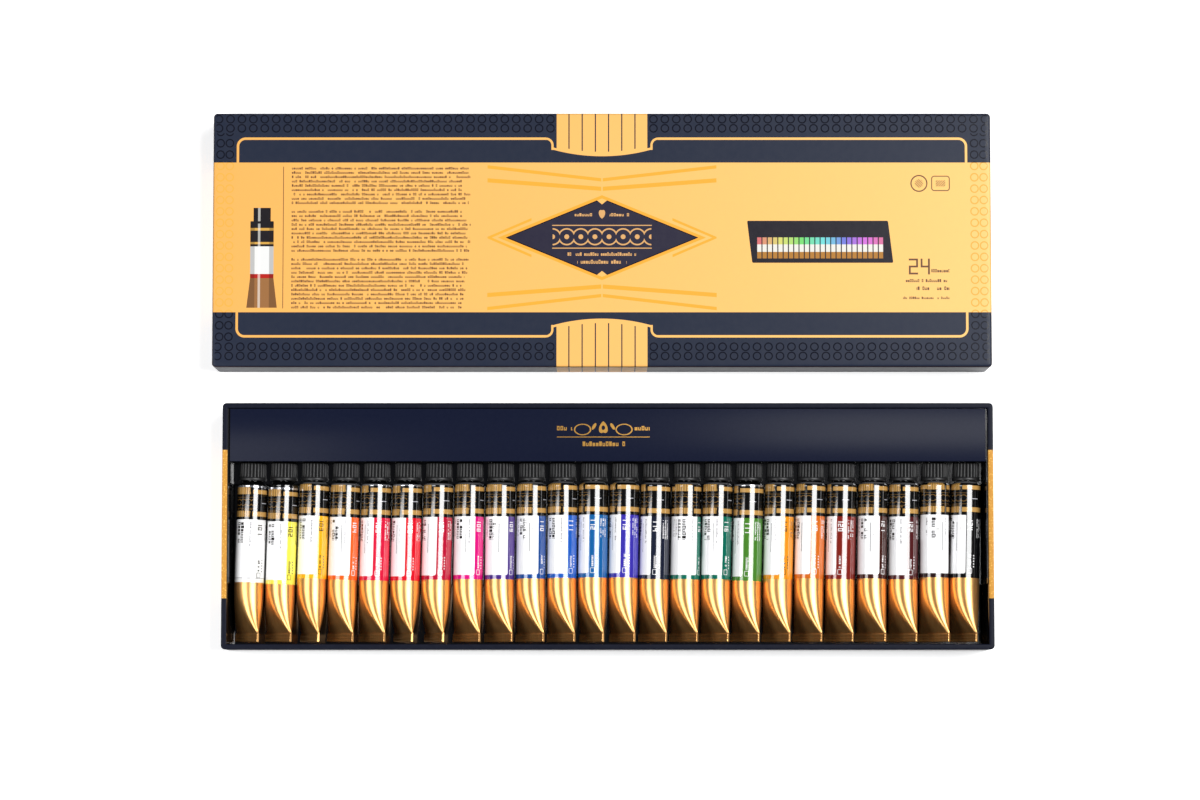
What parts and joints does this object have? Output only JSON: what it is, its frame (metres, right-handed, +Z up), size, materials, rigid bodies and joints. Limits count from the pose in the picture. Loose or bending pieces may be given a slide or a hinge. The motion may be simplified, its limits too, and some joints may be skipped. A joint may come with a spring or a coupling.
{
  "type": "watercolor tube set",
  "caption": "Row of fluted-cap watercolour tubes in a black moulded insert, in a shallow navy and gold box whose deep lid lies face up beside it.",
  "frame": {"origin": "centre of the tray's underside", "axes": "+X along the row of tubes from left to right, +Y from the crimped tube ends towards the caps and on to the lid, +Z up"},
  "size_m": [0.3537, 0.2435, 0.025],
  "materials": {
    "navy_wrap_paper": "coated, satin, with a gold printed band",
    "lid_print": "coated, satin navy and gold print",
    "box_board": "raw grey board",
    "lining_paper": "uncoated white",
    "base_paper": "coated, satin",
    "insert_black": "gloss black thermoformed sheet",
    "header_card": "satin navy with gold foil ornament",
    "cap_black": "fine matt moulded",
    "tube_01_lacquer": "gloss lacquer over gold-lacquered aluminium",
    "tube_02_lacquer": "gloss lacquer over gold-lacquered aluminium",
    "tube_03_lacquer": "gloss lacquer over gold-lacquered aluminium",
    "tube_04_lacquer": "gloss lacquer over gold-lacquered aluminium",
    "tube_05_lacquer": "gloss lacquer over gold-lacquered aluminium",
    "tube_06_lacquer": "gloss lacquer over gold-lacquered aluminium",
    "tube_07_lacquer": "gloss lacquer over gold-lacquered aluminium",
    "tube_08_lacquer": "gloss lacquer over gold-lacquered aluminium",
    "tube_09_lacquer": "gloss lacquer over gold-lacquered aluminium",
    "tube_10_lacquer": "gloss lacquer over gold-lacquered aluminium",
    "tube_11_lacquer": "gloss lacquer over gold-lacquered aluminium",
    "tube_12_lacquer": "gloss lacquer over gold-lacquered aluminium",
    "tube_13_lacquer": "gloss lacquer over gold-lacquered aluminium",
    "tube_14_lacquer": "gloss lacquer over gold-lacquered aluminium",
    "tube_15_lacquer": "gloss lacquer over gold-lacquered aluminium",
    "tube_16_lacquer": "gloss lacquer over gold-lacquered aluminium",
    "tube_17_lacquer": "gloss lacquer over gold-lacquered aluminium",
    "tube_18_lacquer": "gloss lacquer over gold-lacquered aluminium",
    "tube_19_lacquer": "gloss lacquer over gold-lacquered aluminium",
    "tube_20_lacquer": "gloss lacquer over gold-lacquered aluminium",
    "tube_21_lacquer": "gloss lacquer over gold-lacquered aluminium",
    "tube_22_lacquer": "gloss lacquer over gold-lacquered aluminium",
    "tube_23_lacquer": "gloss lacquer over gold-lacquered aluminium",
    "tube_24_lacquer": "gloss lacquer over gold-lacquered aluminium"
  },
  "bodies": {
    "tray": {"tray_board": "box_board", "tray_wrap": "navy_wrap_paper", "tray_base_paper": "base_paper", "insert": "insert_black", "header_card": "header_card"},
    "lid": {"lid_board": "box_board", "lid_wrap": "lid_print", "lid_liner": "lining_paper"},
    "tube_01": {"tube_01": "tube_01_lacquer"},
    "cap_01": {"cap_01": "cap_black"},
    "tube_02": {"tube_02": "tube_02_lacquer"},
    "cap_02": {"cap_02": "cap_black"},
    "tube_03": {"tube_03": "tube_03_lacquer"},
    "cap_03": {"cap_03": "cap_black"},
    "tube_04": {"tube_04": "tube_04_lacquer"},
    "cap_04": {"cap_04": "cap_black"},
    "tube_05": {"tube_05": "tube_05_lacquer"},
    "cap_05": {"cap_05": "cap_black"},
    "tube_06": {"tube_06": "tube_06_lacquer"},
    "cap_06": {"cap_06": "cap_black"},
    "tube_07": {"tube_07": "tube_07_lacquer"},
    "cap_07": {"cap_07": "cap_black"},
    "tube_08": {"tube_08": "tube_08_lacquer"},
    "cap_08": {"cap_08": "cap_black"},
    "tube_09": {"tube_09": "tube_09_lacquer"},
    "cap_09": {"cap_09": "cap_black"},
    "tube_10": {"tube_10": "tube_10_lacquer"},
    "cap_10": {"cap_10": "cap_black"},
    "tube_11": {"tube_11": "tube_11_lacquer"},
    "cap_11": {"cap_11": "cap_black"},
    "tube_12": {"tube_12": "tube_12_lacquer"},
    "cap_12": {"cap_12": "cap_black"},
    "tube_13": {"tube_13": "tube_13_lacquer"},
    "cap_13": {"cap_13": "cap_black"},
    "tube_14": {"tube_14": "tube_14_lacquer"},
    "cap_14": {"cap_14": "cap_black"},
    "tube_15": {"tube_15": "tube_15_lacquer"},
    "cap_15": {"cap_15": "cap_black"},
    "tube_16": {"tube_16": "tube_16_lacquer"},
    "cap_16": {"cap_16": "cap_black"},
    "tube_17": {"tube_17": "tube_17_lacquer"},
    "cap_17": {"cap_17": "cap_black"},
    "tube_18": {"tube_18": "tube_18_lacquer"},
    "cap_18": {"cap_18": "cap_black"},
    "tube_19": {"tube_19": "tube_19_lacquer"},
    "cap_19": {"cap_19": "cap_black"},
    "tube_20": {"tube_20": "tube_20_lacquer"},
    "cap_20": {"cap_20": "cap_black"},
    "tube_21": {"tube_21": "tube_21_lacquer"},
    "cap_21": {"cap_21": "cap_black"},
    "tube_22": {"tube_22": "tube_22_lacquer"},
    "cap_22": {"cap_22": "cap_black"},
    "tube_23": {"tube_23": "tube_23_lacquer"},
    "cap_23": {"cap_23": "cap_black"},
    "tube_24": {"tube_24": "tube_24_lacquer"},
    "cap_24": {"cap_24": "cap_black"}
  },
  "joints": [
    {"name": "lid_lift", "type": "slide", "parent": "tray", "child": "lid", "axis": [0, 0, 1], "range_m": [0, 0.06]},
    {"name": "tube_01_lift", "type": "slide", "parent": "tray", "child": "tube_01", "axis": [0, 0, 1], "range_m": [0, 0.032]},
    {"name": "cap_01_turn", "type": "hinge", "parent": "tube_01", "child": "cap_01", "pos_m": [-0.16145, 0.0186, 0.01247], "axis": [0.0279, 0.9996, 0], "continuous": true},
    {"name": "tube_02_lift", "type": "slide", "parent": "tray", "child": "tube_02", "axis": [0, 0, 1], "range_m": [0, 0.032]},
    {"name": "cap_02_turn", "type": "hinge", "parent": "tube_02", "child": "cap_02", "pos_m": [-0.14735, 0.0186, 0.01247], "axis": [0.0262, 0.9997, 0], "continuous": true},
    {"name": "tube_03_lift", "type": "slide", "parent": "tray", "child": "tube_03", "axis": [0, 0, 1], "range_m": [0, 0.032]},
    {"name": "cap_03_turn", "type": "hinge", "parent": "tube_03", "child": "cap_03", "pos_m": [-0.13325, 0.0186, 0.01247], "axis": [0.0244, 0.9997, 0], "continuous": true},
    {"name": "tube_04_lift", "type": "slide", "parent": "tray", "child": "tube_04", "axis": [0, 0, 1], "range_m": [0, 0.032]},
    {"name": "cap_04_turn", "type": "hinge", "parent": "tube_04", "child": "cap_04", "pos_m": [-0.11915, 0.0186, 0.01247], "axis": [0.0279, 0.9996, 0], "continuous": true},
    {"name": "tube_05_lift", "type": "slide", "parent": "tray", "child": "tube_05", "axis": [0, 0, 1], "range_m": [0, 0.032]},
    {"name": "cap_05_turn", "type": "hinge", "parent": "tube_05", "child": "cap_05", "pos_m": [-0.10505, 0.0186, 0.01247], "axis": [0.0244, 0.9997, 0], "continuous": true},
    {"name": "tube_06_lift", "type": "slide", "parent": "tray", "child": "tube_06", "axis": [0, 0, 1], "range_m": [0, 0.032]},
    {"name": "cap_06_turn", "type": "hinge", "parent": "tube_06", "child": "cap_06", "pos_m": [-0.09095, 0.0186, 0.01247], "axis": [0.0227, 0.9997, 0], "continuous": true},
    {"name": "tube_07_lift", "type": "slide", "parent": "tray", "child": "tube_07", "axis": [0, 0, 1], "range_m": [0, 0.032]},
    {"name": "cap_07_turn", "type": "hinge", "parent": "tube_07", "child": "cap_07", "pos_m": [-0.07685, 0.0186, 0.01247], "axis": [0.0244, 0.9997, 0], "continuous": true},
    {"name": "tube_08_lift", "type": "slide", "parent": "tray", "child": "tube_08", "axis": [0, 0, 1], "range_m": [0, 0.032]},
    {"name": "cap_08_turn", "type": "hinge", "parent": "tube_08", "child": "cap_08", "pos_m": [-0.06275, 0.0186, 0.01247], "axis": [0.0157, 0.9999, 0], "continuous": true},
    {"name": "tube_09_lift", "type": "slide", "parent": "tray", "child": "tube_09", "axis": [0, 0, 1], "range_m": [0, 0.032]},
    {"name": "cap_09_turn", "type": "hinge", "parent": "tube_09", "child": "cap_09", "pos_m": [-0.04865, 0.0186, 0.01247], "axis": [0.0105, 0.9999, 0], "continuous": true},
    {"name": "tube_10_lift", "type": "slide", "parent": "tray", "child": "tube_10", "axis": [0, 0, 1], "range_m": [0, 0.032]},
    {"name": "cap_10_turn", "type": "hinge", "parent": "tube_10", "child": "cap_10", "pos_m": [-0.03455, 0.0186, 0.01247], "axis": [0.0087, 1, 0], "continuous": true},
    {"name": "tube_11_lift", "type": "slide", "parent": "tray", "child": "tube_11", "axis": [0, 0, 1], "range_m": [0, 0.032]},
    {"name": "cap_11_turn", "type": "hinge", "parent": "tube_11", "child": "cap_11", "pos_m": [-0.02045, 0.0186, 0.01247], "axis": [0.0087, 1, 0], "continuous": true},
    {"name": "tube_12_lift", "type": "slide", "parent": "tray", "child": "tube_12", "axis": [0, 0, 1], "range_m": [0, 0.032]},
    {"name": "cap_12_turn", "type": "hinge", "parent": "tube_12", "child": "cap_12", "pos_m": [-0.00635, 0.0186, 0.01247], "axis": [0.0122, 0.9999, 0], "continuous": true},
    {"name": "tube_13_lift", "type": "slide", "parent": "tray", "child": "tube_13", "axis": [0, 0, 1], "range_m": [0, 0.032]},
    {"name": "cap_13_turn", "type": "hinge", "parent": "tube_13", "child": "cap_13", "pos_m": [0.00775, 0.0186, 0.01247], "axis": [0.0157, 0.9999, 0], "continuous": true},
    {"name": "tube_14_lift", "type": "slide", "parent": "tray", "child": "tube_14", "axis": [0, 0, 1], "range_m": [0, 0.032]},
    {"name": "cap_14_turn", "type": "hinge", "parent": "tube_14", "child": "cap_14", "pos_m": [0.02185, 0.0186, 0.01247], "axis": [0.0192, 0.9998, 0], "continuous": true},
    {"name": "tube_15_lift", "type": "slide", "parent": "tray", "child": "tube_15", "axis": [0, 0, 1], "range_m": [0, 0.032]},
    {"name": "cap_15_turn", "type": "hinge", "parent": "tube_15", "child": "cap_15", "pos_m": [0.03595, 0.0186, 0.01247], "axis": [0.0209, 0.9998, 0], "continuous": true},
    {"name": "tube_16_lift", "type": "slide", "parent": "tray", "child": "tube_16", "axis": [0, 0, 1], "range_m": [0, 0.032]},
    {"name": "cap_16_turn", "type": "hinge", "parent": "tube_16", "child": "cap_16", "pos_m": [0.05005, 0.0186, 0.01247], "axis": [0.0244, 0.9997, 0], "continuous": true},
    {"name": "tube_17_lift", "type": "slide", "parent": "tray", "child": "tube_17", "axis": [0, 0, 1], "range_m": [0, 0.032]},
    {"name": "cap_17_turn", "type": "hinge", "parent": "tube_17", "child": "cap_17", "pos_m": [0.06415, 0.0186, 0.01247], "axis": [0.0262, 0.9997, 0], "continuous": true},
    {"name": "tube_18_lift", "type": "slide", "parent": "tray", "child": "tube_18", "axis": [0, 0, 1], "range_m": [0, 0.032]},
    {"name": "cap_18_turn", "type": "hinge", "parent": "tube_18", "child": "cap_18", "pos_m": [0.07825, 0.0186, 0.01247], "axis": [0.0262, 0.9997, 0], "continuous": true},
    {"name": "tube_19_lift", "type": "slide", "parent": "tray", "child": "tube_19", "axis": [0, 0, 1], "range_m": [0, 0.032]},
    {"name": "cap_19_turn", "type": "hinge", "parent": "tube_19", "child": "cap_19", "pos_m": [0.09235, 0.0186, 0.01247], "axis": [0.0244, 0.9997, 0], "continuous": true},
    {"name": "tube_20_lift", "type": "slide", "parent": "tray", "child": "tube_20", "axis": [0, 0, 1], "range_m": [0, 0.032]},
    {"name": "cap_20_turn", "type": "hinge", "parent": "tube_20", "child": "cap_20", "pos_m": [0.10645, 0.0186, 0.01247], "axis": [0.0244, 0.9997, 0], "continuous": true},
    {"name": "tube_21_lift", "type": "slide", "parent": "tray", "child": "tube_21", "axis": [0, 0, 1], "range_m": [0, 0.032]},
    {"name": "cap_21_turn", "type": "hinge", "parent": "tube_21", "child": "cap_21", "pos_m": [0.12055, 0.0186, 0.01247], "axis": [0.0175, 0.9998, 0], "continuous": true},
    {"name": "tube_22_lift", "type": "slide", "parent": "tray", "child": "tube_22", "axis": [0, 0, 1], "range_m": [0, 0.032]},
    {"name": "cap_22_turn", "type": "hinge", "parent": "tube_22", "child": "cap_22", "pos_m": [0.13465, 0.0186, 0.01247], "axis": [0.0157, 0.9999, 0], "continuous": true},
    {"name": "tube_23_lift", "type": "slide", "parent": "tray", "child": "tube_23", "axis": [0, 0, 1], "range_m": [0, 0.032]},
    {"name": "cap_23_turn", "type": "hinge", "parent": "tube_23", "child": "cap_23", "pos_m": [0.14875, 0.0186, 0.01247], "axis": [0.0122, 0.9999, 0], "continuous": true},
    {"name": "tube_24_lift", "type": "slide", "parent": "tray", "child": "tube_24", "axis": [0, 0, 1], "range_m": [0, 0.032]},
    {"name": "cap_24_turn", "type": "hinge", "parent": "tube_24", "child": "cap_24", "pos_m": [0.16285, 0.0186, 0.01247], "axis": [0.0227, 0.9997, 0], "continuous": true}
  ]
}
